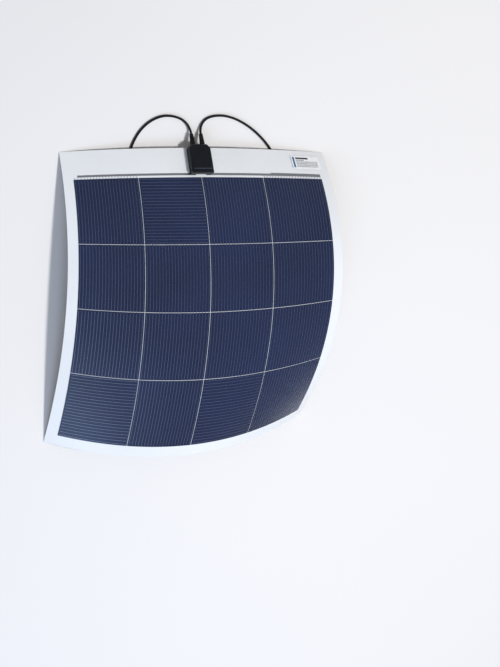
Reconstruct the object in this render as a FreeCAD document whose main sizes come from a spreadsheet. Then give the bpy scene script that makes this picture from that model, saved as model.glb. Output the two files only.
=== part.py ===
import FreeCAD, Part
import math
import os
import Sketcher
from FreeCAD import Placement, Rotation, Vector

# Flexible solar sheet, lying face up as a shallow arch that stands on its four corners.
# Millimetres. +Z is up, +X runs along the sheet's width, +Y points to the edge with the
# junction box. The origin is on the floor below the middle of the sheet.
#
# Laminated pieces are written in flat sheet coordinates: u across from the left edge,
# v along from the junction box edge, w out of the sheet from its rear face.

doc = FreeCAD.newDocument("flexible_solar_sheet")
sizes = doc.addObject("Spreadsheet::Sheet", "Sizes")

DRIVING = {
    # flat sheet
    "sheet_width": 680,
    "sheet_length": 725,
    "side_margin": 25,
    "box_margin": 70,
    "cell_side": 156.75,
    "cell_gap": 1.25,
    "cells_across": 4,
    # layer thicknesses, rear to front
    "backsheet_thickness": 0.6,
    "rear_encapsulant_thickness": 0.25,
    "wire_thickness": 0.15,
    "cell_thickness": 0.2,
    "front_encapsulant_thickness": 0.4,
    "film_thickness": 0.25,
    # conductors
    "wires_on_a_cell": 21,
    "wire_width": 0.6,
    "wire_inset": 3,
    "wire_step": 0.2,
    "ribbon_near": 60,
    "ribbon_far": 65,
    "collector_near": 58,
    "collector_start": 522,
    "ribbon_end_inset": 10,
    "collector_end_inset": 2,
    "field_clearance": 2,
    "lead_width": 4,
    "lead_spread": 15,
    "lead_near": 36,
    "lead_rise": 6,
    "lead_clearance": 0.5,
    # type label
    "label_left": 586,
    "label_top": 13,
    "label_width": 76,
    "label_length": 33,
    "label_thickness": 0.1,
    # junction box
    "box_centre_u": 340,
    "box_centre_v": 30,
    "box_width": 54,
    "box_length": 66,
    "box_corner": 8,
    "box_wall": 2.5,
    "box_floor": 2,
    "pad_gap": 0.6,
    "base_height": 11.5,
    "lid_height": 4,
    "lid_gap": 0.1,
    "lid_bevel": 2,
    "lip_depth": 2,
    "lip_wall": 1.5,
    "lip_clearance": 0.25,
    "gasket_width": 1,
    "gasket_height": 0.8,
    "diode_length": 9,
    "diode_radius": 1.8,
    "diode_wire": 0.4,
    "diode_setback": 2,
    "terminal_width": 9,
    "terminal_length": 18,
    "terminal_height": 1.5,
    "barrel_radius": 2.2,
    "barrel_start": 2,
    "web_width": 3,
    "web_length": 8,
    "slot_width": 4,
    "slot_margin": 1,
    # strain reliefs and cables
    "cable_diameter": 5.5,
    "cable_pitch": 24,
    "cable_height": 6.9,
    "cable_start": 14,
    "cable_bend": 71.5,
    "relief_root_radius": 6,
    "relief_tip_radius": 4.3,
    "relief_length": 26,
    "relief_spigot_radius": 4.3,
    "bore_clearance": 0.05,
    "coil_radius_left": 32,
    "coil_radius_right": 30,
    "coil_turns": 2.25,
    "coil_rise": 5.6,
    "coil_lift": 1,
    "tie_width": 8,
    "tie_thickness": 0.6,
    # cable connectors
    "connector_height": 9.7,
    "contact_radius": 2,
    "shank_radius": 2.4,
    "housing_radius": 8.6,
    "housing_neck_radius": 6.1,
    "housing_neck_start": 5,
    "housing_body_start": 18,
    "housing_mouth_start": 36,
    "plug_length": 56,
    "socket_length": 60,
    "mouth_radius": 7,
    "nose_radius": 6.4,
    "nut_radius": 9.2,
    "nut_length": 16,
    "nut_wall": 3.5,
    "nut_clearance": 0.2,
    "nut_corner_ratio": 1.07,
    "seal_length": 6.6,
    "seal_radius": 4.85,
    "seal_gap": 0.2,
    "crimp_end": 14,
    "pin_end": 50,
    "sleeve_radius": 3.1,
    "sleeve_bore": 2.05,
    "window_width": 5,
    "window_length": 6,
    "window_setback": 8,
    "arm_width": 4,
    "arm_thickness": 1.4,
    "arm_length": 17,
    "arm_inset": 0.8,
    # how far a cutting shape reaches past what it cuts, and a joined one into its neighbour
    "overcut": 1,
}

# Where nine evenly spaced points of the rear face stand: left, middle and right column,
# each from the junction box edge to the far edge. The whole bend is drawn through them.
STATIONS = {
    "left": ((-334, 335, 0), (-326, 23, 53), (-343, -313, 0)),
    "middle": ((-7, 342, 16), (-4, 11, 118), (-16, -353, 74)),
    "right": ((338, 324, 0), (343, 21, 119), (328, -302, 0)),
}
ROWS = ("near", "centre", "far")

for column, places in STATIONS.items():
    for row_name, place in zip(ROWS, places):
        for axis_name, value in zip("xyz", place):
            DRIVING[f"{column}_{row_name}_{axis_name}"] = value

for row, (alias, value) in enumerate(DRIVING.items(), start=1):
    sizes.set(f"A{row}", alias)
    sizes.set(f"B{row}", str(value))
    sizes.setAlias(f"B{row}", alias)
doc.recompute()


def size(alias):
    return float(sizes.get(alias))


WIDTH = size("sheet_width")
LENGTH = size("sheet_length")
PITCH = size("cell_side") + size("cell_gap")
COUNT = int(size("cells_across"))
FIELD_END = size("cell_side") + (COUNT - 1) * PITCH

# Heights of the layers above the rear face.
REAR = size("backsheet_thickness")
REAR_WIRES = REAR + size("rear_encapsulant_thickness")
CELLS = REAR_WIRES + size("wire_thickness")
FRONT_WIRES = CELLS + size("cell_thickness")
FRONT = FRONT_WIRES + size("wire_thickness")
FILM = FRONT + size("front_encapsulant_thickness")
FACE = FILM + size("film_thickness")
WIRE = size("wire_thickness")
OVERCUT = size("overcut")


# ---------------------------------------------------------------- the bent sheet


def quadratic(share):
    """Weights of the first, middle and last of three points at a share of the way along."""
    return (
        (2 * share - 1) * (share - 1),
        4 * share * (1 - share),
        share * (2 * share - 1),
    )


def quadratic_slope(share):
    """How fast those weights change along the way."""
    return (4 * share - 3, 4 - 8 * share, 4 * share - 1)


def blend(table, across, along):
    """Sum of the 3 x 3 vectors in table, weighted by two triples."""
    total = Vector()
    for column, weight_u in zip(table, across):
        for vector, weight_v in zip(column, along):
            total += vector * (weight_u * weight_v)
    return total


station = [
    [Vector(*(size(f"{c}_{r}_{a}") for a in "xyz")) for r in ROWS] for c in STATIONS
]


def surface_axes(u, v):
    """Unit vectors at a flat position: across, towards the box edge, and out of the face."""
    s, t = u / WIDTH, v / LENGTH
    across = blend(station, quadratic_slope(s), quadratic(t)).normalize()
    along = blend(station, quadratic(s), quadratic_slope(t)).normalize()
    out = along.cross(across).normalize()
    return across, out.cross(across), out


normals = [
    [surface_axes(s * WIDTH, t * LENGTH)[2] for t in (0, 0.5, 1)] for s in (0, 0.5, 1)
]


def bent(u, v, w):
    """Where the flat position u, v, w of the sheet stands in the bent sheet."""
    across, along = quadratic(u / WIDTH), quadratic(v / LENGTH)
    return blend(station, across, along) + blend(normals, across, along) * w


def middle(a, b):
    return tuple((p + q) / 2 for p, q in zip(a, b))


def control_points(three):
    """Bezier poles of the parabola through three evenly spaced points."""
    first, centre, last = three
    return [first, centre * 2 - (first + last) * 0.5, last]


def patch(a, b, c, d):
    """Bent face whose corners, in order round it, are the flat positions a, b, c and d."""
    rows = []
    for left, right in ((a, b), (middle(a, d), middle(b, c)), (d, c)):
        across = [bent(*p) for p in (left, middle(left, right), right)]
        rows.append(control_points(across))
    columns = [control_points(column) for column in zip(*rows)]
    face = Part.BezierSurface()
    face.increase(2, 2)
    for i, column in enumerate(columns):
        for j, pole in enumerate(column):
            face.setPole(i + 1, j + 1, pole)
    return face.toShape()


def bent_strip(sections):
    """Solid through four-cornered sections given in flat positions."""
    faces = [patch(*sections[0]), patch(*sections[-1])]
    for near, far in zip(sections, sections[1:]):
        for i in range(4):
            j = (i + 1) % 4
            faces.append(patch(near[i], near[j], far[j], far[i]))
    sewn = Part.makeCompound(faces)
    sewn.sewShape()
    solid = Part.makeSolid(sewn.Shells[0])
    if solid.Volume < 0:
        solid.reverse()
    return solid


def bent_block(u0, u1, v0, v1, w0, w1):
    def section(v):
        return [(u0, v, w0), (u1, v, w0), (u1, v, w1), (u0, v, w1)]

    return bent_strip([section(v0), section(v1)])


def shape_node(label, shape):
    node = doc.addObject("Part::Feature", label)
    node.Shape = shape
    node.Label = label
    return node


def lead_u(side):
    return size("box_centre_u") + side * size("lead_spread")


def lead_slot(side):
    """Opening over a lead through the layers in front of the cells."""
    clear = size("lead_clearance")
    half = size("lead_width") / 2 + clear
    near, far = size("lead_near") - clear, size("lead_near") + WIRE + clear
    u = lead_u(side)
    return bent_block(u - half, u + half, near, far, FRONT - WIRE, FACE + OVERCUT)


def front_encapsulant():
    layer = bent_block(0, WIDTH, 0, LENGTH, REAR_WIRES, FILM)
    side, top = size("side_margin"), size("box_margin")
    clear = size("field_clearance")
    near, far = size("lead_near") - size("lead_clearance"), top + FIELD_END + clear
    field = bent_block(side - clear, side + FIELD_END + clear, near, far, REAR, FRONT)
    return layer.cut(field).cut(lead_slot(-1)).cut(lead_slot(1))


def front_film():
    layer = bent_block(0, WIDTH, 0, LENGTH, FILM, FACE)
    return layer.cut(lead_slot(-1)).cut(lead_slot(1))


def cell(row, column):
    u = size("side_margin") + column * PITCH
    v = size("box_margin") + row * PITCH
    side = size("cell_side")
    return bent_block(u, u + side, v, v + side, CELLS, FRONT_WIRES)


def series_order():
    """Rows and columns of the cells in the order in which the current passes them."""
    order = []
    for column in range(COUNT):
        rows = range(COUNT) if column % 2 == 0 else reversed(range(COUNT))
        order += [(row, column) for row in rows]
    return order


def wire(run, lateral, crosswise):
    """One flat wire: run lists places along it with the height of its lower face."""
    half = size("wire_width") / 2
    sections = []
    for place, low in run:
        corners = ((-half, low), (half, low), (half, low + WIRE), (-half, low + WIRE))
        if crosswise:
            sections.append([(place, lateral + q, w) for q, w in corners])
        else:
            sections.append([(lateral + q, place, w) for q, w in corners])
    return bent_strip(sections)


def wire_group(run, across_start, crosswise):
    """The parallel wires of one cell, evenly spread over its side."""
    count = int(size("wires_on_a_cell"))
    spacing = size("cell_side") / count
    return Part.makeCompound(
        [wire(run, across_start + (i + 0.5) * spacing, crosswise) for i in range(count)]
    )


def linking_wires(cell_from, cell_to):
    """Wires from the front of one cell to the rear of the next one in the series."""
    (row_a, column_a), (row_b, column_b) = cell_from, cell_to
    crosswise = row_a == row_b
    margin = size("side_margin") if crosswise else size("box_margin")
    start, end = (column_a, column_b) if crosswise else (row_a, row_b)
    lateral_margin = size("box_margin") if crosswise else size("side_margin")
    lateral = lateral_margin + (row_a if crosswise else column_a) * PITCH
    side, inset, clear = size("cell_side"), size("wire_inset"), size("wire_step")
    from_near, to_near = margin + start * PITCH, margin + end * PITCH
    if end > start:
        run = [
            (from_near + inset, FRONT_WIRES),
            (from_near + side + clear, FRONT_WIRES),
            (to_near - clear, REAR_WIRES),
            (to_near + side - inset, REAR_WIRES),
        ]
    else:
        run = [
            (from_near + side - inset, FRONT_WIRES),
            (from_near - clear, FRONT_WIRES),
            (to_near + side + clear, REAR_WIRES),
            (to_near + inset, REAR_WIRES),
        ]
    return wire_group(run, lateral, crosswise)


def end_wires(column, height):
    """Wires of the first or the last cell, up to its bus ribbon."""
    top = size("box_margin")
    run = [
        (size("ribbon_far"), height),
        (top + size("cell_side") - size("wire_inset"), height),
    ]
    return wire_group(run, size("side_margin") + column * PITCH, False)


def ribbon_box(u0, u1, near, low):
    return bent_block(u0, u1, near, size("ribbon_far"), low, low + WIRE)


def lead(side, low):
    """Strip from a bus ribbon to under the box, then up through the front into the box."""
    half = size("lead_width") / 2
    u = lead_u(side)
    near, far = size("lead_near"), size("ribbon_near")
    top = FACE + size("pad_gap") + size("lead_rise")

    def section(outer, inner):
        return [(u - half, *outer), (u + half, *outer), (u + half, *inner), (u - half, *inner)]

    return bent_strip(
        [
            section((far, low), (far, low + WIRE)),
            section((near, low), (near + WIRE, low + WIRE)),
            section((near, top), (near + WIRE, top)),
        ]
    )


def left_ribbon():
    start = size("side_margin") + size("ribbon_end_inset")
    end = lead_u(-1) + size("lead_width") / 2
    return ribbon_box(start, end, size("ribbon_near"), REAR_WIRES)


def right_ribbon():
    """A narrow run from the box, and a wide collector over the last column of cells."""
    start = lead_u(1) - size("lead_width") / 2
    collector = size("collector_start")
    end = size("side_margin") + FIELD_END - size("collector_end_inset")
    return Part.makeCompound(
        [
            ribbon_box(start, collector, size("ribbon_near"), FRONT_WIRES),
            ribbon_box(collector, end, size("collector_near"), FRONT_WIRES),
        ]
    )


def build_laminate():
    shape_node("backsheet", bent_block(0, WIDTH, 0, LENGTH, 0, REAR))
    shape_node("rear_encapsulant", bent_block(0, WIDTH, 0, LENGTH, REAR, REAR_WIRES))
    shape_node("front_encapsulant", front_encapsulant())
    shape_node("front_film", front_film())
    order = series_order()
    for row, column in order:
        shape_node(f"cell_row{row + 1}_column{column + 1}", cell(row, column))
    for number, pair in enumerate(zip(order, order[1:]), start=1):
        shape_node(f"wires_cell{number:02d}_to_cell{number + 1:02d}", linking_wires(*pair))
    first, last = end_wires(0, REAR_WIRES), end_wires(COUNT - 1, FRONT_WIRES)
    shape_node("wires_at_both_ends", Part.makeCompound([first, last]))
    shape_node("bus_ribbon_left", left_ribbon())
    shape_node("bus_ribbon_right", right_ribbon())
    leads = [lead(-1, REAR_WIRES), lead(1, FRONT_WIRES)]
    shape_node("output_leads", Part.makeCompound(leads))
    left, top = size("label_left"), size("label_top")
    right, bottom = left + size("label_width"), top + size("label_length")
    over_face = FACE + size("label_thickness")
    shape_node("type_label", bent_block(left, right, top, bottom, FACE, over_face))


# ---------------------------------------------------------------- the junction box

box_u, box_v = size("box_centre_u"), size("box_centre_v")
box_axes = surface_axes(box_u, box_v)
BOX = Placement(bent(box_u, box_v, FACE), Rotation(*box_axes, "ZXY"))


def body_node(label):
    body = doc.addObject("PartDesign::Body", label)
    body.Label = label
    return body


def base_plane(body, role):
    return next(f for f in body.Origin.OriginFeatures if f.Role == role)


def sketch_on(body, name, role, offset):
    sketch = body.newObject("Sketcher::SketchObject", name)
    sketch.AttachmentSupport = [(base_plane(body, role), "")]
    sketch.MapMode = "FlatFace"
    sketch.setExpression(".AttachmentOffset.Base.z", offset)
    return sketch


# Where sketch corners start before their sizes place them: in order, on a small circle.
START_RADIUS = 9


def constrain(sketch, expression, *what):
    """Adds a constraint whose value is an expression of the sheet's sizes."""
    index = sketch.addConstraint(Sketcher.Constraint(*what, 1.0))
    sketch.setExpression(f"Constraints[{index}]", expression)


def add_polygon(sketch, corners):
    """Closed polygon whose corner places are expressions of the sheet's sizes."""
    count = len(corners)
    first = sketch.GeometryCount
    turns = [2 * math.pi * i / count for i in range(count + 1)]
    starts = [Vector(math.cos(turn), math.sin(turn)) * START_RADIUS for turn in turns]
    for start, end in zip(starts, starts[1:]):
        sketch.addGeometry(Part.LineSegment(start, end), False)
    for i in range(count):
        after = first + (i + 1) % count
        sketch.addConstraint(Sketcher.Constraint("Coincident", first + i, 2, after, 1))
    for i, corner in enumerate(corners):
        for kind, expression in zip(("DistanceX", "DistanceY"), corner):
            constrain(sketch, expression, kind, -1, 1, first + i, 1)


def box_outline(inset):
    """Rectangle with the two corners beside the cables cut off, moved in all round."""
    side = f"(Sizes.box_width / 2 - ({inset}))"
    end = f"(Sizes.box_length / 2 - ({inset}))"
    cut = f"(Sizes.box_corner - (2 - sqrt(2)) * ({inset}))"
    return [
        (f"-{side}", f"-{end}"),
        (side, f"-{end}"),
        (side, f"{end} - {cut}"),
        (f"{side} - {cut}", end),
        (f"-{side} + {cut}", end),
        (f"-{side}", f"{end} - {cut}"),
    ]


def rectangle(left, right, bottom, top):
    return [(left, bottom), (right, bottom), (right, top), (left, top)]


def pad(body, sketch, name, length):
    feature = body.newObject("PartDesign::Pad", name)
    feature.Profile = sketch
    feature.setExpression("Length", length)
    return feature


def pocket(body, sketch, name, length, midplane=False):
    feature = body.newObject("PartDesign::Pocket", name)
    feature.Profile = sketch
    feature.Midplane = midplane
    feature.setExpression("Length", length)
    return feature


def top_face(shape):
    """Name of the highest flat face of a shape."""
    heights = [face.CenterOfMass.z for face in shape.Faces]
    return f"Face{heights.index(max(heights)) + 1}"


def junction_box_base():
    body = body_node("junction_box_base")
    outline = sketch_on(body, "base_outline", "XY_Plane", "Sizes.pad_gap")
    add_polygon(outline, box_outline("0"))
    pad(body, outline, "base_block", "Sizes.base_height")
    rim = "Sizes.pad_gap + Sizes.base_height"
    cavity = sketch_on(body, "base_cavity", "XY_Plane", rim)
    add_polygon(cavity, box_outline("Sizes.box_wall"))
    pocket(body, cavity, "base_hollow", "Sizes.base_height - Sizes.box_floor")
    slot = sketch_on(body, "lead_slot", "XY_Plane", "Sizes.pad_gap + Sizes.box_floor / 2")
    reach = "(Sizes.lead_spread + Sizes.lead_width / 2 + Sizes.slot_margin)"
    near = "Sizes.box_centre_v - Sizes.lead_near - Sizes.slot_width / 2"
    add_polygon(slot, rectangle(f"-{reach}", reach, near, f"{near} + Sizes.slot_width"))
    pocket(body, slot, "lead_opening", "Sizes.box_floor + 2 * Sizes.overcut", midplane=True)
    ports = sketch_on(
        body, "cable_ports", "XZ_Plane", "-(Sizes.box_length / 2 - Sizes.box_wall / 2)"
    )
    for side in (-1, 1):
        centre = Vector(side * START_RADIUS, START_RADIUS, 0)
        port = ports.addGeometry(Part.Circle(centre, Vector(0, 0, 1), OVERCUT), False)
        constrain(ports, f"{side} * Sizes.cable_pitch / 2", "DistanceX", -1, 1, port, 3)
        constrain(ports, "Sizes.cable_height", "DistanceY", -1, 1, port, 3)
        constrain(ports, "Sizes.relief_spigot_radius + Sizes.bore_clearance", "Radius", port)
    pocket(body, ports, "cable_holes", "Sizes.box_wall + 2 * Sizes.overcut", midplane=True)
    body.Placement = BOX


def junction_box_lid():
    body = body_node("junction_box_lid")
    underside = "Sizes.pad_gap + Sizes.base_height + Sizes.lid_gap"
    outline = sketch_on(body, "lid_outline", "XY_Plane", underside)
    add_polygon(outline, box_outline("0"))
    plate = pad(body, outline, "lid_plate", "Sizes.lid_height")
    doc.recompute()
    bevel = body.newObject("PartDesign::Chamfer", "lid_bevelled_rim")
    bevel.Base = (plate, [top_face(plate.Shape)])
    bevel.setExpression("Size", "Sizes.lid_bevel")
    lip = sketch_on(body, "lid_lip", "XY_Plane", f"{underside} - Sizes.lip_depth")
    lip_inset = "Sizes.box_wall + Sizes.lip_clearance"
    add_polygon(lip, box_outline(lip_inset))
    add_polygon(lip, box_outline(f"{lip_inset} + Sizes.lip_wall"))
    pad(body, lip, "lid_lip_ring", "Sizes.lip_depth")
    groove = sketch_on(body, "gasket_groove", "XY_Plane", underside)
    add_polygon(groove, box_outline("(Sizes.box_wall - Sizes.gasket_width) / 2"))
    add_polygon(groove, box_outline("(Sizes.box_wall + Sizes.gasket_width) / 2"))
    channel = pocket(body, groove, "gasket_channel", "Sizes.gasket_height - Sizes.lid_gap")
    channel.Reversed = True
    body.Placement = BOX


def junction_box_gasket():
    body = body_node("junction_box_gasket")
    ring = sketch_on(body, "gasket_ring", "XY_Plane", "Sizes.pad_gap + Sizes.base_height")
    add_polygon(ring, box_outline("(Sizes.box_wall - Sizes.gasket_width) / 2"))
    add_polygon(ring, box_outline("(Sizes.box_wall + Sizes.gasket_width) / 2"))
    pad(body, ring, "gasket_body", "Sizes.gasket_height")
    body.Placement = BOX


def place(piece, x="0", y="0", z="0"):
    for axis_name, expression in zip("xyz", (x, y, z)):
        piece.setExpression(f".Placement.Base.{axis_name}", expression)
    return piece


def block(name, length, width, height, x, y, z):
    """Box primitive centred on x and y, standing on z, with every size an expression."""
    piece = doc.addObject("Part::Box", name)
    piece.setExpression("Length", length)
    piece.setExpression("Width", width)
    piece.setExpression("Height", height)
    return place(piece, f"{x} - ({length}) / 2", f"{y} - ({width}) / 2", z)


def rod(name, radius, length, x="0", y="0", z="0", along=Vector(0, 0, 1)):
    piece = doc.addObject("Part::Cylinder", name)
    piece.Placement = Placement(Vector(), Rotation(Vector(0, 0, 1), along))
    piece.setExpression("Radius", radius)
    piece.setExpression("Height", length)
    return place(piece, x, y, z)


def fuse(name, pieces):
    joined = doc.addObject("Part::MultiFuse", name)
    joined.Shapes = pieces
    return joined


def cut(name, base, tools):
    left_over = doc.addObject("Part::Cut", name)
    left_over.Base = base
    left_over.Tool = tools[0] if len(tools) == 1 else fuse(name + "_hollows", tools)
    return left_over


def node_of(piece, placement):
    """Makes a piece a node of its own: its label is its name."""
    piece.Label = piece.Name
    piece.Placement = placement


def adhesive_pad():
    """Silicone bed between the flat box and the bent face."""
    inset = size("box_wall")
    half_width = size("box_width") / 2 - inset
    near = box_v - size("box_length") / 2 + size("box_corner")
    far = box_v + size("box_length") / 2 - inset
    reach = size("box_length")
    bed = bent_block(box_u - half_width, box_u + half_width, near, far, FACE, FACE + reach)
    above = Part.makeBox(2 * reach, 2 * reach, 2 * reach)
    above.Placement = BOX.multiply(
        Placement(Vector(-reach, -reach, size("pad_gap")), Rotation())
    )
    half = size("lead_spread") + size("lead_width") / 2 + size("slot_margin")
    near, far = (size("lead_near") + side * size("slot_width") / 2 for side in (-1, 1))
    window = bent_block(box_u - half, box_u + half, near, far, 0, FACE + reach)
    shape_node("box_adhesive_pad", bed.cut(above).cut(window))


FLOOR = "(Sizes.pad_gap + Sizes.box_floor)"
SIDEWAYS = Vector(1, 0, 0)
ONWARD = Vector(0, 1, 0)


def terminals():
    """Two tinned clips on the floor of the box, each with a barrel for a cable's strands."""
    pieces = []
    rear = "(Sizes.box_centre_v - Sizes.lead_near + Sizes.wire_thickness)"
    for side, word in ((-1, "left"), (1, "right")):
        plate = block(
            f"terminal_plate_{word}",
            "Sizes.terminal_width",
            "Sizes.terminal_length",
            "Sizes.terminal_height",
            f"{side} * Sizes.lead_spread",
            f"{rear} + Sizes.terminal_length / 2",
            FLOOR,
        )
        cable_x = f"{side} * Sizes.cable_pitch / 2"
        web_height = "(Sizes.cable_height - Sizes.pad_gap - Sizes.box_floor)"
        web = block(
            f"terminal_web_{word}",
            "Sizes.web_width",
            "Sizes.web_length",
            web_height,
            cable_x,
            "Sizes.barrel_start + Sizes.web_length / 2",
            FLOOR,
        )
        barrel = rod(
            f"terminal_barrel_{word}",
            "Sizes.barrel_radius",
            "Sizes.cable_start - Sizes.barrel_start",
            cable_x,
            "Sizes.barrel_start",
            "Sizes.cable_height",
            ONWARD,
        )
        pieces += [plate, web, barrel]
    node_of(fuse("terminals", pieces), BOX)


def bypass_diode():
    """Axial diode whose wires lie on the two terminal plates."""
    y, z = "-Sizes.diode_setback", f"{FLOOR} + Sizes.terminal_height + Sizes.diode_wire"
    body = rod(
        "diode_case",
        "Sizes.diode_radius",
        "Sizes.diode_length",
        "-Sizes.diode_length / 2",
        y,
        z,
        SIDEWAYS,
    )
    wires = rod(
        "diode_wires",
        "Sizes.diode_wire",
        "2 * Sizes.lead_spread",
        "-Sizes.lead_spread",
        y,
        z,
        SIDEWAYS,
    )
    node_of(fuse("bypass_diode", [body, wires]), BOX)


def strain_relief(word, side):
    x, z = f"{side} * Sizes.cable_pitch / 2", "Sizes.cable_height"
    wall = "(Sizes.box_length / 2)"
    taper = doc.addObject("Part::Cone", f"relief_taper_{word}")
    taper.Placement = Placement(Vector(), Rotation(Vector(0, 0, 1), ONWARD))
    taper.setExpression("Radius1", "Sizes.relief_root_radius")
    taper.setExpression("Radius2", "Sizes.relief_tip_radius")
    taper.setExpression("Height", "Sizes.relief_length")
    place(taper, x, wall, z)
    spigot = rod(
        f"relief_spigot_{word}",
        "Sizes.relief_spigot_radius",
        "Sizes.box_wall + Sizes.overcut",
        x,
        f"{wall} - Sizes.box_wall",
        z,
        ONWARD,
    )
    bore = rod(
        f"relief_bore_{word}",
        "Sizes.cable_diameter / 2 + Sizes.bore_clearance",
        "Sizes.relief_length + Sizes.box_wall + 2 * Sizes.overcut",
        x,
        f"{wall} - Sizes.box_wall - Sizes.overcut",
        z,
        ONWARD,
    )
    whole = fuse(f"relief_whole_{word}", [taper, spigot])
    node_of(cut(f"strain_relief_{word}", whole, [bore]), BOX)


def build_junction_box():
    adhesive_pad()
    junction_box_base()
    junction_box_lid()
    junction_box_gasket()
    terminals()
    bypass_diode()
    strain_relief("left", -1)
    strain_relief("right", 1)


# ---------------------------------------------------------------- cables and coils


def run_out(side, y):
    """A place on the axis of a cable inside the box and its strain relief."""
    return BOX.multVec(Vector(side * size("cable_pitch") / 2, y, size("cable_height")))


RADIUS = size("cable_diameter") / 2
COIL_START = size("coil_lift") + RADIUS
COIL_END = COIL_START + size("coil_turns") * size("coil_rise")
AXIS = size("connector_height")

# Each cable: the places of its route over the floor to its coil, the coil's centre, the
# way round, and the places from the coil to its connector.
LEAD_POINTS = {
    "left": (
        (-33, 403, RADIUS),
        (-59, 412, RADIUS),
        (-88, 413, RADIUS),
        (-117, 402, RADIUS),
        (-141, 382, RADIUS),
        (-157, 356, RADIUS),
        (-167, 327, RADIUS),
        (-172, 297, RADIUS),
        (-172, 265, COIL_START),
    ),
    "right": (
        (17, 402, RADIUS),
        (36, 411, RADIUS),
        (66, 413, RADIUS),
        (97, 406, RADIUS),
        (126, 393, RADIUS),
        (153, 376, RADIUS),
        (177, 356, RADIUS),
        (198, 334, RADIUS),
        (215, 308, RADIUS),
        (222, 279, RADIUS),
        (222, 250, COIL_START),
    ),
}
COIL_CENTRES = {"left": (-140, 265), "right": (192, 250)}
TAIL_POINTS = {
    "left": (
        (-140, 233, COIL_END),
        (-114, 235, 14.5),
        (-88, 234, 11),
        (-62, 233, AXIS),
        (-34, 233, AXIS),
    ),
    "right": ((192, 220, COIL_END), (168, 219, 14), (146, 220, AXIS), (116, 220, AXIS)),
}
SIDES = {"left": -1, "right": 1}


# Share of the shorter run beside a corner that the corner's arc takes up.
ARC_SHARE = 0.45


def rounded_path(points):
    """Straight runs joined by tangent arcs, as large as the runs beside them allow."""
    edges, radii, start = [], [], points[0]
    for before, corner, after in zip(points, points[1:], points[2:]):
        come, leave = corner - before, after - corner
        turn = come.getAngle(leave)
        setback = ARC_SHARE * min(come.Length, leave.Length)
        radius = setback / math.tan(turn / 2)
        come, leave = come.normalize(), leave.normalize()
        arc_start, arc_end = corner - come * setback, corner + leave * setback
        inward = (leave - come).normalize()
        centre = corner + inward * (radius / math.cos(turn / 2))
        edges.append(Part.LineSegment(start, arc_start).toShape())
        edges.append(Part.Arc(arc_start, centre - inward * radius, arc_end).toShape())
        radii.append(radius)
        start = arc_end
    edges.append(Part.LineSegment(start, points[-1]).toShape())
    return Part.Wire(edges), radii


def tube(points, label):
    """Round cable along a route; its volume has to match its section times its length."""
    path, radii = rounded_path(points)
    section = Part.Wire(Part.makeCircle(RADIUS, points[0], points[1] - points[0]))
    solid = path.makePipeShell([section], True, False)
    expected = math.pi * RADIUS**2 * path.Length
    print(label, "length", round(path.Length, 1), "radii", [round(r) for r in radii])
    print(label, "volume share of section times length", round(solid.Volume / expected, 4))
    return solid, path.Length


def build_cable(word):
    side = SIDES[word]
    start, bend = run_out(side, size("cable_start")), run_out(side, size("cable_bend"))
    lead_route = [start, bend] + [Vector(*p) for p in LEAD_POINTS[word]]
    lead_solid, lead_length = tube(lead_route, f"cable_{word} lead")
    tail_route = [Vector(*p) for p in TAIL_POINTS[word]]
    tail_solid, tail_length = tube(tail_route, f"cable_{word} tail")
    shape_node(f"cable_{word}", Part.makeCompound([lead_solid, tail_solid]))
    turn = math.hypot(2 * math.pi * size(f"coil_radius_{word}"), size("coil_rise"))
    coiled = size("coil_turns") * turn
    print(f"cable_{word} whole length", round(lead_length + coiled + tail_length))


def build_coil(word):
    """Ring that the put-away turns of a cable fill."""
    height = "(Sizes.coil_turns + 1) * Sizes.coil_rise"
    half = "Sizes.cable_diameter / 2"
    radius = f"Sizes.coil_radius_{word}"
    outer = rod(f"coil_outside_{word}", f"{radius} + {half}", height)
    inner = rod(f"coil_inside_{word}", f"{radius} - {half}", height)
    centre = Vector(*COIL_CENTRES[word], size("coil_lift"))
    node_of(cut(f"coil_{word}", outer, [inner]), Placement(centre, Rotation()))


def build_coil_ties():
    """A strap round the turns of each coil, on the side away from where the cable comes in."""
    height = size("coil_lift") + (size("coil_turns") + 1) * size("coil_rise")
    thick, wide = size("tie_thickness"), size("tie_width")
    gap = size("coil_lift") - thick
    straps = []
    for word, side in SIDES.items():
        x, y = COIL_CENTRES[word]
        middle_x = x - side * size(f"coil_radius_{word}")
        hole = RADIUS + gap
        outside = Part.makeBox(
            2 * (hole + thick),
            wide,
            height + gap + thick,
            Vector(middle_x - hole - thick, y - wide / 2, 0),
        )
        inside = Part.makeBox(
            2 * hole, wide, height + gap - thick, Vector(middle_x - hole, y - wide / 2, thick)
        )
        straps.append(outside.cut(inside))
    shape_node("coil_ties", Part.makeCompound(straps))


# ---------------------------------------------------------------- cable connectors

# Both connectors are written along +Z from the back of the nut to the open end.
CABLE_HOLE = "Sizes.cable_diameter / 2 + Sizes.bore_clearance"
NECK_START = "Sizes.housing_neck_start"
MOUTH_START = "Sizes.housing_mouth_start"


def connector_place(word):
    """Where a connector lies: its axis runs on from the last run of its cable."""
    x, y, z = TAIL_POINTS[word][-1]
    outward = -SIDES[word]
    back = Vector(x - outward * size("crimp_end"), y, z)
    return Placement(back, Rotation(Vector(0, 0, 1), Vector(outward, 0, 0)))


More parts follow.
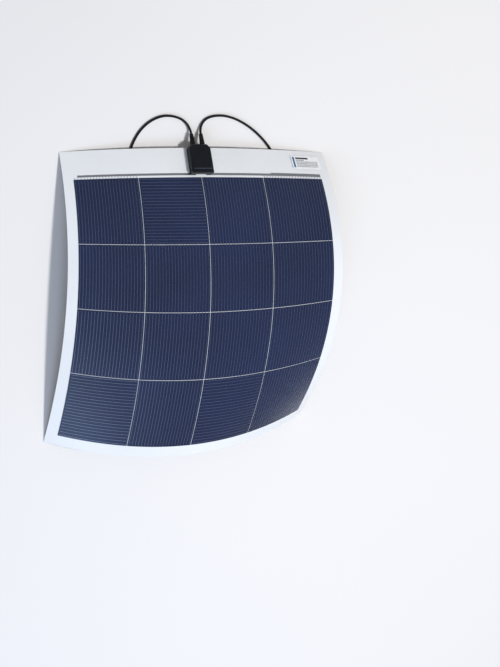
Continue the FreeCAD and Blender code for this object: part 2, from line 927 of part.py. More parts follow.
def housing_rear(word):
    """Threaded neck and body that both housings share, and the hollows in them."""
    neck = rod(
        f"{word}_neck",
        "Sizes.housing_neck_radius",
        f"Sizes.housing_body_start - {NECK_START} + Sizes.overcut",
        z=NECK_START,
    )
    seal_seat = rod(
        f"{word}_seal_seat",
        "Sizes.seal_radius + Sizes.bore_clearance",
        "Sizes.seal_length + 2 * Sizes.seal_gap",
        z=NECK_START,
    )
    cable_way = rod(f"{word}_cable_way", CABLE_HOLE, "Sizes.crimp_end")
    contact_way = rod(
        f"{word}_contact_way",
        "Sizes.shank_radius + Sizes.bore_clearance",
        f"{MOUTH_START} + Sizes.overcut",
    )
    return [neck], [seal_seat, cable_way, contact_way]


def plug_housing(where):
    solids, hollows = housing_rear("plug")
    solids.append(
        rod(
            "plug_body",
            "Sizes.housing_radius",
            "Sizes.plug_length - Sizes.housing_body_start",
            z="Sizes.housing_body_start",
        )
    )
    mouth = rod(
        "plug_mouth",
        "Sizes.mouth_radius",
        f"Sizes.plug_length - {MOUTH_START} + Sizes.overcut",
        z=MOUTH_START,
    )
    windows = block(
        "plug_latch_windows",
        "Sizes.window_width",
        "2 * (Sizes.housing_radius + Sizes.overcut)",
        "Sizes.window_length",
        "0",
        "0",
        f"{MOUTH_START} + Sizes.window_setback",
    )
    whole = fuse("plug_whole", solids)
    node_of(cut("plug_housing", whole, hollows + [mouth, windows]), where)


def socket_housing(where):
    solids, hollows = housing_rear("socket")
    solids.append(
        rod(
            "socket_body",
            "Sizes.housing_radius",
            f"{MOUTH_START} - Sizes.housing_body_start",
            z="Sizes.housing_body_start",
        )
    )
    nose_start = f"({MOUTH_START} - Sizes.overcut)"
    nose_length = f"(Sizes.socket_length - {nose_start})"
    solids.append(rod("socket_nose", "Sizes.nose_radius", nose_length, z=nose_start))
    for side, word in ((-1, "lower"), (1, "upper")):
        arm = block(
            f"socket_arm_{word}",
            "Sizes.arm_width",
            "Sizes.arm_thickness",
            "Sizes.arm_length",
            "0",
            f"{side} * (Sizes.housing_radius - Sizes.arm_inset)",
            nose_start,
        )
        solids.append(arm)
    sleeve_hole = rod(
        "socket_sleeve_hole",
        "Sizes.sleeve_radius + Sizes.bore_clearance",
        f"{nose_length} + 2 * Sizes.overcut",
        z=f"{nose_start} - Sizes.overcut",
    )
    whole = fuse("socket_whole", solids)
    node_of(cut("socket_housing", whole, hollows + [sleeve_hole]), where)


def cap_nut(word, where):
    """Hexagonal nut with rounded corners that presses the seal onto the cable."""
    round_outside = rod(f"{word}_nut_round", "Sizes.nut_radius", "Sizes.nut_length")
    hexagon = doc.addObject("Part::Prism", f"{word}_nut_hexagon")
    hexagon.Polygon = 6
    hexagon.setExpression("Circumradius", "Sizes.nut_radius * Sizes.nut_corner_ratio")
    hexagon.setExpression("Height", "Sizes.nut_length")
    outside = doc.addObject("Part::MultiCommon", f"{word}_nut_outside")
    outside.Shapes = [round_outside, hexagon]
    cable_hole = rod(
        f"{word}_nut_hole",
        "Sizes.cable_diameter / 2 + Sizes.nut_clearance",
        "Sizes.nut_wall + 2 * Sizes.overcut",
        z="-Sizes.overcut",
    )
    thread = rod(
        f"{word}_nut_thread",
        "Sizes.housing_neck_radius + 2 * Sizes.bore_clearance",
        "Sizes.nut_length",
        z="Sizes.nut_wall",
    )
    node_of(cut(f"{word}_cap_nut", outside, [cable_hole, thread]), where)


def cable_seals(places):
    """The rubber rings round both cables, squeezed by the cap nuts."""
    seals = []
    for word, where in places.items():
        outside = rod(
            f"{word}_seal_outside",
            "Sizes.seal_radius",
            "Sizes.seal_length",
            z=f"{NECK_START} + Sizes.seal_gap",
        )
        hole = rod(f"{word}_seal_hole", CABLE_HOLE, "2 * Sizes.seal_length", z=NECK_START)
        seal = cut(f"{word}_seal", outside, [hole])
        seal.Placement = where
        seals.append(seal)
    node_of(fuse("cable_seals", seals), Placement())


def shank(word):
    """Thicker rear of a contact, inside its housing, that the cable's strands end in."""
    length = f"{MOUTH_START} - Sizes.crimp_end"
    return rod(f"{word}_shank", "Sizes.shank_radius", length, z="Sizes.crimp_end")


def pin_contact(where):
    pin_length = f"Sizes.pin_end - {MOUTH_START}"
    pin = rod("pin_free_end", "Sizes.contact_radius", pin_length, z=MOUTH_START)
    tip = doc.addObject("Part::Cone", "pin_tip")
    tip.setExpression("Radius1", "Sizes.contact_radius")
    tip.setExpression("Radius2", "Sizes.contact_radius / 2")
    tip.setExpression("Height", "Sizes.contact_radius / 2")
    place(tip, z="Sizes.pin_end")
    node_of(fuse("pin_contact", [shank("pin"), pin, tip]), where)


def socket_contact(where):
    sleeve = rod(
        "sleeve_tube",
        "Sizes.sleeve_radius",
        f"Sizes.socket_length - {MOUTH_START} - Sizes.overcut",
        z=f"{MOUTH_START} - Sizes.overcut",
    )
    hole = rod(
        "sleeve_hole",
        "Sizes.sleeve_bore",
        "Sizes.socket_length",
        z=f"{MOUTH_START} + Sizes.overcut",
    )
    whole = fuse("sleeve_whole", [shank("sleeve"), sleeve])
    node_of(cut("socket_contact", whole, [hole]), where)


def build_connectors():
    places = {"plug": connector_place("left"), "socket": connector_place("right")}
    plug_housing(places["plug"])
    pin_contact(places["plug"])
    socket_housing(places["socket"])
    socket_contact(places["socket"])
    for word, where in places.items():
        cap_nut(word, where)
    cable_seals(places)


# ---------------------------------------------------------------- build and write


def named_nodes():
    """Objects that are pieces of the sheet, and not steps on the way to one."""
    inside = {child.Name for obj in doc.Objects for child in obj.OutList}
    kinds = ("Part::Feature", "PartDesign::Body", "Part::Cut", "Part::MultiFuse")
    return [o for o in doc.Objects if o.TypeId in kinds and o.Name not in inside]


def write_parts():
    os.makedirs("parts", exist_ok=True)
    for obj in doc.Objects:
        if "Invalid" in obj.State or "Error" in obj.State:
            raise RuntimeError(f"{obj.Label} failed: {obj.State}")
    nodes = named_nodes()
    for node in nodes:
        if node.Shape.isNull() or not node.Shape.isValid():
            raise RuntimeError(f"{node.Label} has no valid shape")
        node.Shape.exportStep(f"parts/{node.Label}.step")
    print(len(nodes), "parts written")


build_laminate()
build_junction_box()
for cable_word in SIDES:
    build_cable(cable_word)
    build_coil(cable_word)
build_coil_ties()
build_connectors()
doc.recompute()
write_parts()
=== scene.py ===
import math
import random

import bmesh
import bpy
from mathutils import Matrix, Vector


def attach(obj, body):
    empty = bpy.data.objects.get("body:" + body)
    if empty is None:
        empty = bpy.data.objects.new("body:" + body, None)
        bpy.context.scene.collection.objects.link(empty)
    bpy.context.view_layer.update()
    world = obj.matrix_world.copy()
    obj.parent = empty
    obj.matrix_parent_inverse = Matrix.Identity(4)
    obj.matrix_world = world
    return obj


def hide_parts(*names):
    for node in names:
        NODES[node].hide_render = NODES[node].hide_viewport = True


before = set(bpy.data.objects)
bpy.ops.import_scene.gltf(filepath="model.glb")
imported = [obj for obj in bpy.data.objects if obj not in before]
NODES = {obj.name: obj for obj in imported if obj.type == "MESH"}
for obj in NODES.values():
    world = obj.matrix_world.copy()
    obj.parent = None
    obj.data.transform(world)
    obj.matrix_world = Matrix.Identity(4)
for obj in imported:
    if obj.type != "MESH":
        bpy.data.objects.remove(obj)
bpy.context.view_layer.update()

# Metres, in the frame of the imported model: +Z up, +X across the sheet, +Y to the edge
# with the junction box. Laminate detail is written in flat sheet coordinates: u across
# from the left edge, v along from the junction box edge, w out from the rear face.

MM = 0.001

# ---------------------------------------------------------------- camera


SENSOR, LENS = 36, 107.95
NEAREST, FARTHEST = 0.1, 60
CAMERA_PLACE = (-2.1788, 0.9342, 3.8904)
CAMERA_RIGHT = (0.86111, 0.06147, 0.50469)
CAMERA_UP = (0.06045, 0.97325, -0.22167)


def add_camera():
    """Camera of the main view, high above the left side of the junction box edge."""
    data = bpy.data.cameras.new("photo_camera")
    data.sensor_width, data.lens = SENSOR, LENS
    data.clip_start, data.clip_end = NEAREST, FARTHEST
    camera = bpy.data.objects.new("photo_camera", data)
    right = Vector(CAMERA_RIGHT).normalized()
    back = right.cross(Vector(CAMERA_UP)).normalized()
    turn = Matrix((right, back.cross(right), back)).transposed().to_4x4()
    camera.matrix_world = Matrix.Translation(CAMERA_PLACE) @ turn
    bpy.context.scene.collection.objects.link(camera)
    bpy.context.scene.camera = camera


add_camera()

# ---------------------------------------------------------------- the bent sheet

WIDTH, LENGTH = 0.680, 0.725
REAR, FACE = 0.6 * MM, 2.0 * MM
STATIONS = (
    ((-334, 335, 0), (-326, 23, 53), (-343, -313, 0)),
    ((-7, 342, 16), (-4, 11, 118), (-16, -353, 74)),
    ((338, 324, 0), (343, 21, 119), (328, -302, 0)),
)
station = [[Vector(place) * MM for place in column] for column in STATIONS]


def quadratic(share):
    """Weights of the first, middle and last of three points at a share of the way along."""
    return (2 * share - 1) * (share - 1), 4 * share * (1 - share), share * (2 * share - 1)


def quadratic_slope(share):
    return 4 * share - 3, 4 - 8 * share, 4 * share - 1


def mix_vectors(table, across, along):
    total = Vector()
    for column, weight_u in zip(table, across):
        for vector, weight_v in zip(column, along):
            total += vector * (weight_u * weight_v)
    return total


def surface_axes(u, v):
    """Unit vectors at a flat position: across, towards the box edge, and out of the face."""
    s, t = u / WIDTH, v / LENGTH
    across = mix_vectors(station, quadratic_slope(s), quadratic(t)).normalized()
    along = mix_vectors(station, quadratic(s), quadratic_slope(t)).normalized()
    out = along.cross(across).normalized()
    return across, out.cross(across), out


shares = (0, 0.5, 1)
normals = [[surface_axes(s * WIDTH, t * LENGTH)[2] for t in shares] for s in shares]


def bent(u, v, w):
    """Where the flat position u, v, w of the sheet stands in the bent sheet."""
    across, along = quadratic(u / WIDTH), quadratic(v / LENGTH)
    return mix_vectors(station, across, along) + mix_vectors(normals, across, along) * w


BOX_U, BOX_V = 340 * MM, 30 * MM
box_axes = surface_axes(BOX_U, BOX_V)
box_place = Matrix(box_axes).transposed().to_4x4()
box_place.translation = bent(BOX_U, BOX_V, FACE)


def in_box(x, y, z):
    """A place given in the junction box's own axes, in millimetres."""
    return box_place @ Vector((x * MM, y * MM, z * MM))


# ---------------------------------------------------------------- building pieces


SMOOTH_BELOW, ROUND_ABOVE = math.radians(30), math.radians(35)
SAME_PLACE, SAME_PLANE = 1e-6, math.radians(1)


def add_mesh(name, mesh_builder, material, body):
    """Object from a bmesh, smooth except along its sharp edges."""
    mesh = bpy.data.meshes.new(name)
    bmesh.ops.recalc_face_normals(mesh_builder, faces=mesh_builder.faces)
    mesh_builder.to_mesh(mesh)
    mesh_builder.free()
    mesh.shade_smooth()
    mesh.set_sharp_from_angle(angle=SMOOTH_BELOW)
    piece = bpy.data.objects.new(name, mesh)
    bpy.context.scene.collection.objects.link(piece)
    mesh.materials.append(material)
    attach(piece, body)
    return piece


def add_bevel(piece, width):
    bevel = piece.modifiers.new("rounded_edges", "BEVEL")
    bevel.width, bevel.segments = width, 2
    bevel.limit_method, bevel.angle_limit = "ANGLE", ROUND_ABOVE
    bevel.use_clamp_overlap = True
    return piece


def bent_block(builder, u_span, v_span, w_span, step):
    """Adds a closed block of the bent sheet to a bmesh, divided so that it follows the bend."""
    width, length = u_span[1] - u_span[0], v_span[1] - v_span[0]
    across, along = max(1, round(width / step)), max(1, round(length / step))

    def grid_at(w):
        grid = []
        for i in range(across + 1):
            u = u_span[0] + width * i / across
            places = [bent(u, v_span[0] + length * j / along, w) for j in range(along + 1)]
            grid.append([builder.verts.new(place) for place in places])
        return grid

    low, high = grids = [grid_at(w) for w in w_span]
    for i in range(across):
        for j in range(along):
            for grid in grids:
                corners = grid[i][j], grid[i + 1][j], grid[i + 1][j + 1], grid[i][j + 1]
                builder.faces.new(corners)
    for i in range(across):
        for j in (0, along):
            builder.faces.new((low[i][j], low[i + 1][j], high[i + 1][j], high[i][j]))
    for j in range(along):
        for i in (0, across):
            builder.faces.new((low[i][j], low[i][j + 1], high[i][j + 1], high[i][j]))


def rounded_copy(node, width, material, body):
    """A CAD node's own shape with its sharp edges rounded, standing for that node."""
    builder = bmesh.new()
    builder.from_mesh(NODES[node].data)
    bmesh.ops.remove_doubles(builder, verts=builder.verts, dist=SAME_PLACE)
    bmesh.ops.dissolve_limit(
        builder, angle_limit=SAME_PLANE, verts=builder.verts, edges=builder.edges
    )
    piece = add_mesh(node + "_moulded", builder, material, body)
    add_bevel(piece, width)
    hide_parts(node)
    return piece


# ---------------------------------------------------------------- materials


WAVE_LENGTH = 0.314  # one band of a wave texture at scale 1


class Surface:
    """A material's node tree, built from a pattern towards its shader."""

    def __init__(self, name, **inputs):
        self.material = bpy.data.materials.new(name)
        self.material.use_nodes = True
        self.tree = self.material.node_tree
        self.shader = self.tree.nodes["Principled BSDF"]
        self.place = self.add("TexCoord").outputs["Object"]
        for key, value in inputs.items():
            self.shader.inputs[key.replace("_", " ")].default_value = value

    def add(self, kind, **settings):
        node = self.tree.nodes.new("ShaderNode" + kind)
        for key, value in settings.items():
            setattr(node, key, value)
        return node

    def link(self, start, end):
        self.tree.links.new(start, end)

    def noise(self, scale, detail):
        node = self.add("TexNoise")
        node.inputs["Scale"].default_value = scale
        node.inputs["Detail"].default_value = detail
        self.link(self.place, node.inputs["Vector"])
        return node.outputs["Fac"]

    def bands(self, spacing, direction):
        """Even bands, with their spacing in metres."""
        node = self.add("TexWave", bands_direction=direction)
        node.inputs["Scale"].default_value = WAVE_LENGTH / spacing
        self.link(self.place, node.inputs["Vector"])
        return node.outputs["Fac"]

    def spread(self, value, low, high, new_low, new_high):
        node = self.add("MapRange")
        for socket, number in zip(node.inputs[1:5], (low, high, new_low, new_high)):
            socket.default_value = number
        self.link(value, node.inputs["Value"])
        return node.outputs["Result"]

    def ramp(self, value, stops):
        node = self.add("ValToRGB")
        elements = node.color_ramp.elements
        for _ in stops[2:]:
            elements.new(0.5)
        for element, (position, colour) in zip(elements, stops):
            element.position = position
            element.color = (*colour, 1)
        self.link(value, node.inputs["Fac"])
        return node.outputs["Color"]

    def blend(self, share, first, second, mode="MIX"):
        node = self.add("Mix", data_type="RGBA", blend_type=mode)
        share_in, first_in, second_in = (node.inputs[place] for place in (0, 6, 7))
        for socket, value in ((share_in, share), (first_in, first), (second_in, second)):
            if isinstance(value, (int, float)):
                socket.default_value = value
            elif isinstance(value, tuple):
                socket.default_value = (*value, 1)
            else:
                self.link(value, socket)
        return node.outputs[2]

    def colour(self, value):
        self.link(value, self.shader.inputs["Base Color"])

    def roughness(self, value):
        self.link(value, self.shader.inputs["Roughness"])

    def bump(self, height, strength, distance):
        node = self.add("Bump")
        node.inputs["Strength"].default_value = strength
        node.inputs["Distance"].default_value = distance
        self.link(height, node.inputs["Height"])
        self.link(node.outputs["Normal"], self.shader.inputs["Normal"])
        return node.outputs["Normal"]


FINGER_SPACING, WEAVE_SPACING = 1.9 * MM, 0.8 * MM


def cell_material(name, fingers):
    """Dark blue textured silicon with fine printed fingers across its wires."""
    s = Surface(name, Specular_IOR_Level=0.2)
    tone = s.ramp(
        s.noise(5, 2),
        [(0.3, (0.0045, 0.010, 0.040)), (0.7, (0.008, 0.017, 0.060))],
    )
    grain = s.ramp(
        s.noise(900, 4), [(0.35, (0.72, 0.74, 0.8)), (0.7, (1.15, 1.18, 1.25))]
    )
    silicon = s.blend(1.0, tone, grain, "MULTIPLY")
    lines = s.spread(s.bands(FINGER_SPACING, fingers), 0.86, 0.98, 0, 0.3)
    s.colour(s.blend(lines, silicon, (0.07, 0.085, 0.14)))
    s.roughness(s.spread(s.noise(60, 4), 0.3, 0.7, 0.42, 0.55))
    s.bump(s.noise(1500, 2), 0.12, 0.00005)
    return s.material


def metal_material(name, bright, dull, low, high):
    """Tinned or plated metal with a slightly uneven dip coat."""
    s = Surface(name, Metallic=1.0)
    s.colour(s.ramp(s.noise(350, 5), [(0.3, dull), (0.7, bright)]))
    s.roughness(s.spread(s.noise(900, 4), 0.3, 0.7, low, high))
    s.bump(s.noise(1400, 3), 0.15, 0.00004)
    return s.material


def plastic_material(name, dark, light, low, high, grain=1600, depth=0.35, **inputs):
    """Moulded plastic or rubber: fine eroded texture, faint clouding and handling wear."""
    s = Surface(name, **inputs)
    s.colour(s.ramp(s.noise(45, 5), [(0.32, dark), (0.72, light)]))
    s.roughness(s.spread(s.noise(120, 6), 0.3, 0.7, low, high))
    s.bump(s.noise(grain, 5), depth, 0.00012)
    return s.material


def backsheet_material():
    """White laminated polyester, slightly clouded, with the fine grain of its fabric side."""
    s = Surface("white_backsheet_finish", Specular_IOR_Level=0.25)
    s.colour(
        s.ramp(s.noise(9, 4), [(0.3, (0.765, 0.77, 0.785)), (0.7, (0.80, 0.805, 0.815))])
    )
    s.roughness(s.spread(s.noise(200, 4), 0.3, 0.7, 0.45, 0.6))
    weave = s.blend(0.5, s.bands(WEAVE_SPACING, "X"), s.bands(WEAVE_SPACING, "Y"), "ADD")
    s.bump(weave, 0.12, 0.00006)
    return s.material


def clear_material():
    """Clear front film: it shows all that is below it and adds a soft textured gloss."""
    s = Surface("clear_front_finish")
    normal = s.bump(s.noise(420, 2), 0.06, 0.00008)
    fresnel = s.add("Fresnel")
    fresnel.inputs["IOR"].default_value = 1.36
    s.link(normal, fresnel.inputs["Normal"])
    gloss = s.add("BsdfGlossy")
    gloss.inputs["Color"].default_value = (1, 1, 1, 1)
    gloss.inputs["Roughness"].default_value = 0.42
    s.link(normal, gloss.inputs["Normal"])
    clear = s.add("BsdfTransparent")
    clear.inputs["Color"].default_value = (0.995, 0.998, 1.0, 1)
    outer = s.add("Math", operation="SUBTRACT", use_clamp=True)
    s.link(fresnel.outputs["Fac"], outer.inputs[0])
    s.link(s.add("NewGeometry").outputs["Backfacing"], outer.inputs[1])
    mix = s.add("MixShader")
    s.link(outer.outputs["Value"], mix.inputs["Fac"])
    s.link(clear.outputs["BSDF"], mix.inputs[1])
    s.link(gloss.outputs["BSDF"], mix.inputs[2])
    s.link(mix.outputs["Shader"], s.tree.nodes["Material Output"].inputs["Surface"])
    s.tree.nodes.remove(s.shader)
    return s.material


CELL_WIRES_ALONG = cell_material("silicon_cell_wires_along", "Y")
CELL_WIRES_ACROSS = cell_material("silicon_cell_wires_across", "X")
WIRE_TIN = metal_material("dark_tinned_wire", (0.30, 0.36, 0.50), (0.23, 0.28, 0.41), 0.5, 0.62)
TIN = metal_material("tinned_copper", (0.66, 0.67, 0.71), (0.5, 0.52, 0.57), 0.3, 0.45)
RIBBON_TIN = metal_material("tinned_ribbon", (0.56, 0.57, 0.61), (0.42, 0.43, 0.47), 0.35, 0.5)
PLATING = metal_material("contact_plating", (0.78, 0.76, 0.72), (0.6, 0.58, 0.54), 0.22, 0.34)
BACKSHEET = backsheet_material()
CLEAR = clear_material()
BOX_PLASTIC = plastic_material(
    "black_box_plastic",
    (0.003, 0.004, 0.006),
    (0.006, 0.007, 0.011),
    0.32,
    0.44,
    Specular_IOR_Level=0.3,
)
# Blue-grey, much lighter than the box plastic: a painted highlight for the lid's step line.
STEP_PAINTED_HIGHLIGHT = plastic_material(
    "lid_step_painted_highlight", (0.06, 0.08, 0.13), (0.10, 0.13, 0.20), 0.3, 0.4
)
CONNECTOR_PLASTIC = plastic_material(
    "black_connector_plastic", (0.007, 0.008, 0.009), (0.016, 0.017, 0.019), 0.38, 0.52, 2200
)
RELIEF_RUBBER = plastic_material(
    "strain_relief_rubber",
    (0.004, 0.004, 0.006),
    (0.009, 0.010, 0.013),
    0.5,
    0.65,
    2600,
    Specular_IOR_Level=0.25,
)
SHEATH = plastic_material(
    "cable_sheath_finish",
    (0.004, 0.005, 0.008),
    (0.008, 0.009, 0.015),
    0.4,
    0.55,
    3200,
    0.2,
    Specular_IOR_Level=0.3,
)
SEAL_RUBBER = plastic_material(
    "seal_rubber", (0.012, 0.012, 0.013), (0.022, 0.022, 0.024), 0.6, 0.75, 2600
)
SILICONE = plastic_material(
    "silicone_bed", (0.62, 0.62, 0.6), (0.72, 0.72, 0.7), 0.45, 0.6, 500, 0.4
)
DIODE = plastic_material("diode_epoxy", (0.012, 0.012, 0.013), (0.03, 0.03, 0.03), 0.3, 0.45)
LABEL_FILM = plastic_material(
    "label_film_finish", (0.80, 0.81, 0.83), (0.86, 0.87, 0.88), 0.35, 0.5, 900, 0.1
)
LABEL_INK = plastic_material(
    "label_grey_ink", (0.03, 0.03, 0.035), (0.06, 0.06, 0.07), 0.45, 0.6, 900, 0.1
)
LABEL_BAND = plastic_material(
    "label_band_ink", (0.03, 0.12, 0.26), (0.05, 0.16, 0.31), 0.45, 0.6, 900, 0.1
)
STRAP = plastic_material(
    "hook_strap", (0.012, 0.012, 0.013), (0.03, 0.03, 0.03), 0.8, 0.95, 1300, 0.9
)


# ---------------------------------------------------------------- cables

CABLE = 5.5 * MM
TURN_POINTS = 16
FLOOR, CABLE_HEIGHT = 2.75, 6.9
HALF_PITCH, BOX_WALL_Y = 12, 33
COIL_LOW, COIL_RISE, COIL_TURNS = 3.75 * MM, 5.6 * MM, 2.25
LOOSENESS, LOOSE_WAVE = 0.018, 2.3


def coil_points(centre, radius, start_degrees, way):
    """Control points of the put-away turns; the spline passes inside them at the radius."""
    points = []
    count = round(TURN_POINTS * COIL_TURNS)
    for i in range(1, count):
        turned = i / TURN_POINTS
        angle = math.radians(start_degrees) + way * 2 * math.pi * turned
        loose = 1 + LOOSENESS * math.sin(LOOSE_WAVE * math.pi * turned)
        reach = radius * loose / math.cos(math.pi / TURN_POINTS)
        place = Vector((math.cos(angle), math.sin(angle), 0)) * reach
        place.z = COIL_LOW + COIL_RISE * turned
        points.append(Vector((*centre, 0)) + place)
    return points


def millimetres(*places):
    return [Vector(place) * MM for place in places]


def cable_route(side, lead_places, coil, tail_places):
    inside = [in_box(HALF_PITCH * side, y, CABLE_HEIGHT) for y in (14, 46, 71.5)]
    return inside + millimetres(*lead_places) + coil + millimetres(*tail_places)


LEFT_ROUTE = cable_route(
    -1,
    (
        (-33, 403, FLOOR),
        (-59, 412, FLOOR),
        (-88, 413, FLOOR),
        (-117, 402, FLOOR),
        (-141, 382, FLOOR),
        (-157, 356, FLOOR),
        (-167, 327, FLOOR),
        (-172, 297, FLOOR),
        (-172, 268, 3.75),
    ),
    coil_points((-0.140, 0.265), 0.032, 180, 1),
    ((-140, 233, 16.3), (-114, 235, 14.5), (-88, 234, 11), (-62, 233, 9.7), (-34, 233, 9.7)),
)
RIGHT_ROUTE = cable_route(
    1,
    (
        (17, 402, FLOOR),
        (36, 411, FLOOR),
        (66, 413, FLOOR),
        (97, 406, FLOOR),
        (126, 393, FLOOR),
        (153, 376, FLOOR),
        (177, 356, FLOOR),
        (198, 334, FLOOR),
        (215, 308, FLOOR),
        (222, 279, FLOOR),
        (222, 253, 3.75),
    ),
    coil_points((0.192, 0.250), 0.030, 0, -1),
    ((192, 220, 16.3), (168, 219, 14), (146, 220, 9.7), (116, 220, 9.7)),
)


def add_cable(name, route):
    """Round cable whose centreline is one smooth spline with the route as control points."""
    curve = bpy.data.curves.new(name, "CURVE")
    curve.dimensions = "3D"
    curve.bevel_depth, curve.bevel_resolution = CABLE / 2, 6
    curve.resolution_u = 8
    curve.use_fill_caps = True
    spline = curve.splines.new("NURBS")
    spline.points.add(len(route) - 1)
    for point, place in zip(spline.points, route):
        point.co = (*place, 1)
    spline.order_u = 3
    spline.use_endpoint_u = True
    curve.materials.append(SHEATH)
    piece = bpy.data.objects.new(name, curve)
    bpy.context.scene.collection.objects.link(piece)
    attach(piece, "sheet")
    return piece


cable_left = add_cable("left_cable", LEFT_ROUTE)
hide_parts("cable_left", "coil_left")
cable_right = add_cable("right_cable", RIGHT_ROUTE)
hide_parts("cable_right", "coil_right")

# ---------------------------------------------------------------- the laminate


def paint(node, material):
    """Gives a CAD node's material slots a finished material."""
    for place in NODES[node].material_slots:
        place.material = material


ACROSS_CELLS = ("cell_row1_column2", "cell_row4_column1", "cell_row4_column3")
for node in NODES:
    if node.startswith("cell_row"):
        paint(node, CELL_WIRES_ACROSS if node in ACROSS_CELLS else CELL_WIRES_ALONG)
    elif node.startswith("wires_"):
        paint(node, WIRE_TIN)
for node, material in {
    "backsheet": BACKSHEET,
    "bus_ribbon_left": RIBBON_TIN,
    "bus_ribbon_right": RIBBON_TIN,
    "output_leads": TIN,
    "type_label": LABEL_FILM,
    "box_adhesive_pad": SILICONE,
    "terminals": TIN,
    "bypass_diode": DIODE,
    "strain_relief_left": RELIEF_RUBBER,
    "strain_relief_right": RELIEF_RUBBER,
    "junction_box_gasket": SEAL_RUBBER,
    "cable_seals": SEAL_RUBBER,
    "coil_ties": STRAP,
    "pin_contact": PLATING,
    "socket_contact": PLATING,
    "plug_housing": CONNECTOR_PLASTIC,
    "plug_cap_nut": CONNECTOR_PLASTIC,
    "socket_housing": CONNECTOR_PLASTIC,
    "socket_cap_nut": CONNECTOR_PLASTIC,
}.items():
    paint(node, material)

BOX_ROUNDING, CONNECTOR_ROUNDING, WELD_REACH = 0.5 * MM, 0.3 * MM, 0.01 * MM
rounded_copy("junction_box_base", BOX_ROUNDING, BOX_PLASTIC, "sheet")
rounded_copy("junction_box_lid", BOX_ROUNDING, BOX_PLASTIC, "lid")
for node in ("plug_housing", "plug_cap_nut", "socket_housing", "socket_cap_nut"):
    weld = NODES[node].modifiers.new("joined_corners", "WELD")
    weld.merge_threshold = WELD_REACH
    add_bevel(NODES[node], CONNECTOR_ROUNDING).modifiers["rounded_edges"].harden_normals = True


def add_lid_step():
    """Moulded line across the lid's flat top, near its end by the cells, coloured as a painted
    highlight.
    """
    top, width, length, height, end = 16.2, 47, 0.9, 0.3, -24
    builder = bmesh.new()
    bmesh.ops.create_cube(builder, size=1)
    for corner in builder.verts:
        x, y, z = corner.co
        corner.co = in_box(width * x, length * y + end, height * z + top)
    # The step's lighter blue-grey material is a painted highlight, not the lid's own colour.
    piece = add_mesh("junction_box_lid_step", builder, STEP_PAINTED_HIGHLIGHT, "lid")
    return add_bevel(piece, 0.12 * MM)


add_lid_step()


CLEAR_START, CLEAR_STEP, CLEAR_ROUNDING = REAR + 0.02 * MM, 10 * MM, 0.25 * MM


def add_clear_front():
    """The fused encapsulant and film, one clear layer round the cells and wires."""
    builder = bmesh.new()
    bent_block(builder, (0, WIDTH), (0, LENGTH), (CLEAR_START, FACE), CLEAR_STEP)
    piece = add_mesh("clear_front_layer", builder, CLEAR, "sheet")
    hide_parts("rear_encapsulant", "front_encapsulant", "front_film")
    return add_bevel(piece, CLEAR_ROUNDING)


add_clear_front()


LABEL_LEFT, LABEL_TOP, LABEL_FACE = 586, 13, FACE + 0.1 * MM
PRINT_HEIGHT = 0.03 * MM
PRINT_STEP = 12 * MM


def add_label_print(name, material, bars):
    """Thin printed bars on the type label, given from the label's corner in millimetres."""
    builder = bmesh.new()
    for u, v, width, length in bars:
        u_span = (LABEL_LEFT + u) * MM, (LABEL_LEFT + u + width) * MM
        v_span = (LABEL_TOP + v) * MM, (LABEL_TOP + v + length) * MM
        w_span = LABEL_FACE, LABEL_FACE + PRINT_HEIGHT
        bent_block(builder, u_span, v_span, w_span, PRINT_STEP)
    piece = add_mesh(name, builder, material, "sheet")


TABLE_TOP, TABLE_ROWS, ROW_PITCH = 13.6, 4, 3.6
RULE, TABLE_LENGTH = 0.35, 14.75


def label_lines():
    """Rows of short bars that stand for small print, in a ruled table."""
    draw = random.Random(7)
    bars = [(12, 4.5, 34, 4.2), (12, 10.6, 22, 1.4)]
    for row in range(TABLE_ROWS):
        v, u = 15.2 + ROW_PITCH * row, 13.0
        while u < 66:
            width = draw.uniform(2.5, 8.5)
            bars.append((u, v, min(width, 69 - u), 1.1))
            u += width + 1.3
    return bars


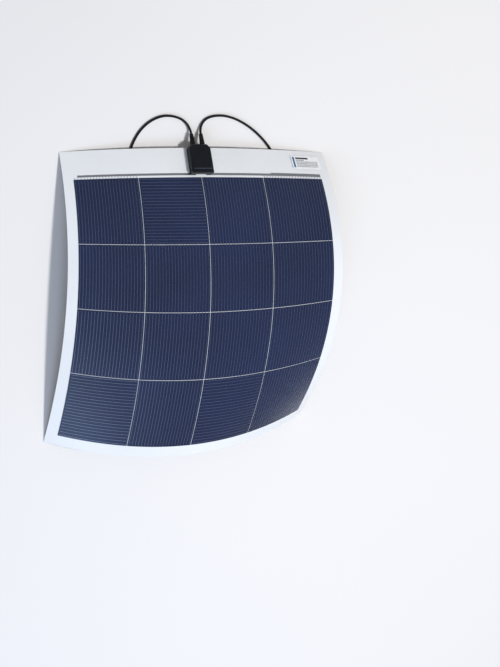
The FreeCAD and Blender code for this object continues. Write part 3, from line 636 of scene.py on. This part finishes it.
LABEL_RULES = [(12, TABLE_TOP + ROW_PITCH * row, 58, RULE) for row in range(TABLE_ROWS + 1)]
LABEL_RULES += [(u, TABLE_TOP, RULE, TABLE_LENGTH) for u in (12, 38, 69.65)]
add_label_print("label_small_print", LABEL_INK, label_lines() + LABEL_RULES)
add_label_print("label_colour_band", LABEL_BAND, [(3.5, 3.5, 5, 26)])

# ---------------------------------------------------------------- stage


def add_area_light(name, place, side, watts, colour=(1, 1, 1)):
    """Round soft light that faces the middle of the sheet's floor."""
    data = bpy.data.lights.new(name, "AREA")
    data.shape, data.size = "DISK", side
    data.energy, data.color = watts, colour
    light = bpy.data.objects.new(name, data)
    light.location = place
    aim = -Vector(place)
    light.rotation_mode = "QUATERNION"
    light.rotation_quaternion = aim.to_track_quat("-Z", "Y")
    bpy.context.scene.collection.objects.link(light)
    return light


FLOOR_HALF, FLOOR_DROP = 12, 0.2 * MM


def add_floor():
    """Pale plain floor, a hair below the sheet's corners."""
    s = Surface("studio_floor", Specular_IOR_Level=0.2, Roughness=0.8)
    s.colour(s.ramp(s.noise(0.6, 2), [(0.3, (0.765, 0.745, 0.735)), (0.7, (0.79, 0.77, 0.76))]))
    mesh = bpy.data.meshes.new("floor")
    signs = ((-1, -1), (1, -1), (1, 1), (-1, 1))
    corners = [(x * FLOOR_HALF, y * FLOOR_HALF, 0) for x, y in signs]
    mesh.from_pydata(corners, [], [(0, 1, 2, 3)])
    mesh.materials.append(s.material)
    floor = bpy.data.objects.new("floor", mesh)
    floor.location.z = -FLOOR_DROP
    bpy.context.scene.collection.objects.link(floor)


def add_world():
    world = bpy.data.worlds.new("studio")
    world.use_nodes = True
    background = world.node_tree.nodes["Background"]
    background.inputs["Color"].default_value = (0.96, 0.975, 1.0, 1)
    background.inputs["Strength"].default_value = 0.34
    bpy.context.scene.world = world


add_floor()
add_world()
key = add_area_light("key", (1.25, -0.05, 4.2), side=0.8, watts=140)
key.visible_glossy = False
add_area_light("low_left_panel", (-1.5, -2.9, 2.9), 2.4, 68, (0.54, 0.71, 1))
bpy.context.scene.view_settings.view_transform = "Standard"
